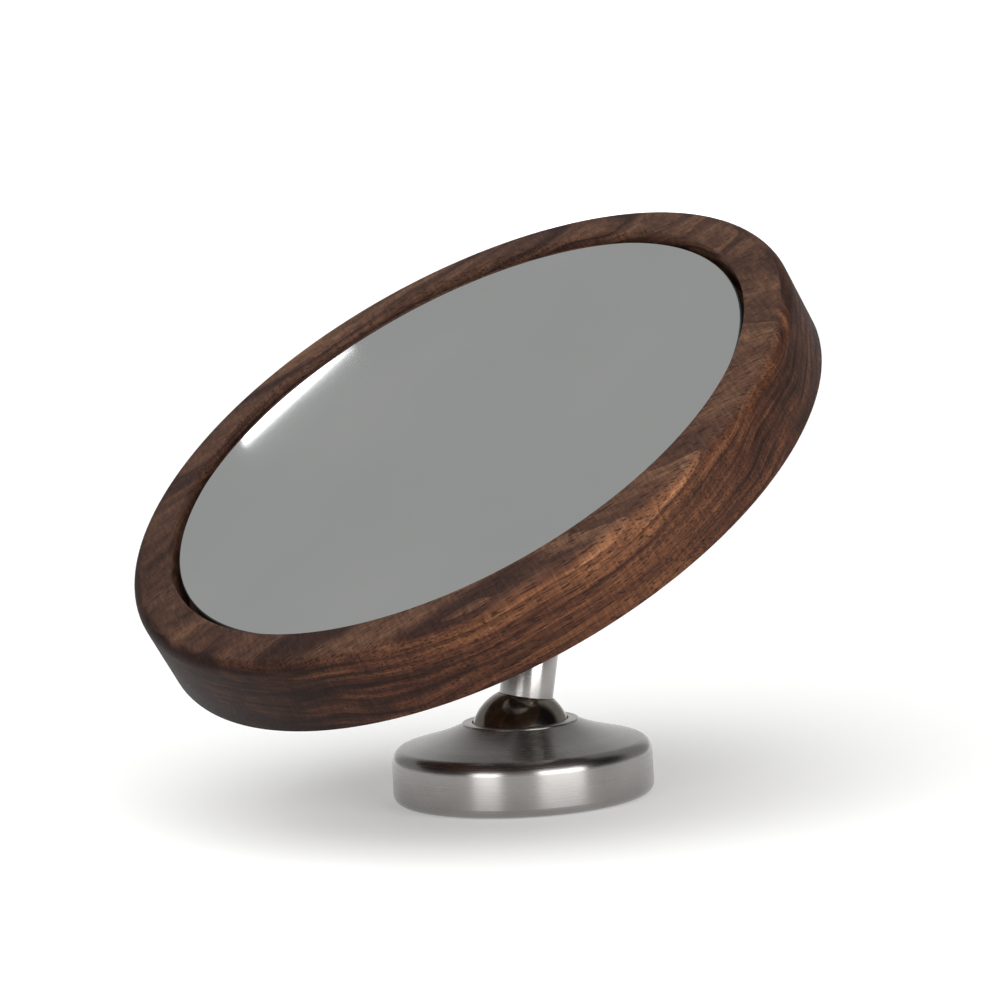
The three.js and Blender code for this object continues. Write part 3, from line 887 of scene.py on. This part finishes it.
def make_gasket(material):
    """Soft disc under the wall plate, with soft edges and holes for its screws."""
    _, radius, bottom, top = reach("backing_gasket", base_place)
    outline = [(0, bottom), (radius, bottom), (radius, top), (0, top)]
    piece = turned("soft_gasket", outline)
    for height in (bottom, top):
        round_ring(piece, radius, height, 0.25 * mm, segments=3)
    wall_holes(piece, bottom, top, wall_screw_hole + gap)
    settle(piece)
    hand_over(piece, "backing_gasket", "base", material)


def make_wall_plate(material):
    """Pressed cup with an upstanding rim and three screw holes."""
    _, radius, bottom, rim_top = reach("wall_plate", base_place)
    thickness, rim_wall = 1.3 * mm, 1.6 * mm
    floor = bottom + thickness
    outline = [
        (0, bottom),
        (radius, bottom),
        (radius, rim_top),
        (radius - rim_wall, rim_top),
        (radius - rim_wall, floor),
        (0, floor),
    ]
    piece = turned("pressed_plate", outline)
    round_ring(piece, radius, bottom, 1.0 * mm, segments=4)
    round_ring(piece, radius, rim_top, 0.3 * mm, segments=2)
    round_ring(piece, radius - rim_wall, rim_top, 0.3 * mm, segments=2)
    wall_holes(piece, bottom, floor, wall_screw_hole)
    settle(piece)
    hand_over(piece, "wall_plate", "base", material)


# ---- Build ----

wood = walnut(head_place @ Vector((0, 0, reach("wood_frame", head_place)[3])))
base_nickel = satin_nickel(base_place, around=True)
arm_nickel = satin_nickel(arm_place, around=True)
head_nickel = satin_nickel(head_place, around=False)
ball_nickel = polished_nickel()
zinc = zinc_steel()
white_plastic = acetal()
rubber = grained_soft("epdm_rubber", "#232324", "#303031", 0.8 * mm, 0.85)
foam = grained_soft("foamed_silicone", "#bdbcb8", "#cfcec9", 0.6 * mm, 0.9)

make_frame(wood)
make_glass(silvered_glass(), glass_edge())
make_head_socket(head_nickel)
make_flange_screws(zinc)
make_base_ball(ball_nickel)
make_outer_tube(arm_nickel)
make_tube_cap(arm_nickel)
make_inner_rod(ball_nickel)
make_head_ball(ball_nickel)
make_base_cover(base_nickel)
make_grub_screw(zinc)
make_gasket(rubber)
make_wall_plate(zinc)

kept_nodes = {
    "base_clamp_ring": zinc,
    "rod_foot_screw": zinc,
    "base_wave_spring": spring_steel(),
    "head_wave_spring": spring_steel(),
    "base_seat_ring": white_plastic,
    "head_seat_cup": white_plastic,
    "guide_bush": white_plastic,
    "rod_sleeve": white_plastic,
    "bore_bumper": rubber,
    "head_pressure_plug": zinc,
    "mirror_bed": foam,
}
for name, material in kept_nodes.items():
    node = frame["nodes"][name]
    for slot in node.material_slots:
        slot.material = material

# ---- Stage ----


def outward(bearing, rise):
    """The direction at a bearing from +X and a rise from the floor, both in degrees."""
    flat = math.cos(math.radians(rise))
    bearing = math.radians(bearing)
    return Vector((flat * math.cos(bearing), flat * math.sin(bearing), math.sin(math.radians(rise))))


def aimed(direction, roll=0.0):
    """The rotation of a camera or lamp whose back is towards `direction`, rolled in degrees."""
    turn = direction.to_track_quat("Z", "Y").to_matrix()
    return (turn @ Matrix.Rotation(math.radians(roll), 3, "Z")).to_euler()


camera_bearing, camera_rise, camera_roll = -42.571, 6.315, -3.114

bpy.ops.object.camera_add(location=(0.88996, -0.82046, 0.21729))
camera = bpy.context.object
camera.rotation_euler = aimed(outward(camera_bearing, camera_rise), camera_roll)
camera.data.sensor_width = 36
camera.data.lens = 158.24
bpy.context.scene.camera = camera


def paper(name, glow):
    """White background paper, matt, with the lamps behind it adding a glow."""
    material, tree = new_material(name)
    pulp = clouds(tree, 0.333, 2.0)
    tint = ramp(add(tree, "ShaderNodeValToRGB", [pulp]), [(0.3, "#dededd"), (0.7, "#e2e2e1")])
    close_material(
        tree,
        {
            "Base Color": tint,
            "Roughness": 0.9,
            "Emission Color": (1.0, 1.0, 1.0, 1.0),
            "Emission Strength": glow,
        },
    )
    return material


bpy.ops.mesh.primitive_plane_add(size=8, location=(0, 0, 0))
floor = bpy.context.object
floor.name = "floor"
floor.data.materials.append(paper("floor_paper", 0.3))

# a low lit sheet behind the object, across the view, hidden from the metal's reflections
away = outward(camera_bearing + 180, 0)
sheet_width, sheet_height, sheet_distance = 7, 0.9, 3.2
bpy.ops.mesh.primitive_plane_add(size=1, rotation=(math.pi / 2, 0, math.atan2(away.x, -away.y)))
sheet = bpy.context.object
sheet.name = "backdrop"
sheet.scale = (sheet_width, sheet_height, 1)
sheet.location = away * sheet_distance + Vector((0, 0, sheet_height / 2))
bpy.ops.object.transform_apply(location=True, rotation=True, scale=True)
sheet.data.materials.append(paper("backdrop_paper", 0.9))
sheet.visible_glossy = False


def toward(turn, rise):
    """A direction turned to the camera's right hand and raised, in degrees, from the object."""
    return outward(camera_bearing + turn, rise)


# a grey room with two unlit sides and a lit wall behind: where, outer and inner angle, and level
room_grey = 0.35
patches = [
    (toward(-72, 34), 42, 22, 0.04),
    (toward(74, 34), 42, 22, 0.04),
    (toward(180, 8), 34, 14, 1.9),
]
world = bpy.data.worlds.new("room")
bpy.context.scene.world = world
world.use_nodes = True
room = world.node_tree
direction = add(room, "ShaderNodeTexCoord").outputs["Generated"]
light = room_grey
for centre, outer, inner, level in patches:
    facing = add(room, "ShaderNodeVectorMath", [direction, centre], operation="DOT_PRODUCT")
    limits = [facing, math.cos(math.radians(outer)), math.cos(math.radians(inner)), 1.0, level]
    patch = add(room, "ShaderNodeMapRange", limits, interpolation_type="SMOOTHSTEP")
    light = add(room, "ShaderNodeMath", [light, patch], operation="MULTIPLY")
room.links.new(light.outputs["Value"], room.nodes["Background"].inputs["Color"])


def softbox(name, place, aim, size, radiance, roll=0.0):
    """A flat lamp at `place` that faces `aim`, as bright all over as its radiance."""
    bpy.ops.object.light_add(type="AREA", location=place)
    lamp = bpy.context.object
    lamp.name = name
    lamp.rotation_euler = aimed(Vector(place) - Vector(aim), roll)
    lamp.data.shape = "RECTANGLE"
    lamp.data.size, lamp.data.size_y = size
    lamp.data.energy = radiance * math.pi * size[0] * size[1]
    lamp.visible_camera = False


bpy.ops.object.light_add(type="SUN", rotation=aimed(toward(-20, 62)))
overhead = bpy.context.object
overhead.name = "overhead"
overhead.data.energy = 2.5
overhead.data.angle = math.radians(70)

lamp_distance = 1.2
base_aim = (0, 0, 0.02)
softbox("left_box", toward(-32, 8) * lamp_distance, base_aim, (0.5, 0.4), 6.3)
softbox("right_box", toward(34, 10) * lamp_distance, base_aim, (0.9, 0.6), 6.0)

# a small lamp that shows as a bright sliver along the glass's upper edge
glass_aim = (-0.0682, -0.0282, 0.1196)
softbox("small_lamp", (-0.4813, 0.0385, 0.5496), glass_aim, (0.038, 0.04), 3.0, roll=126.9)

bpy.context.scene.view_settings.view_transform = "Standard"
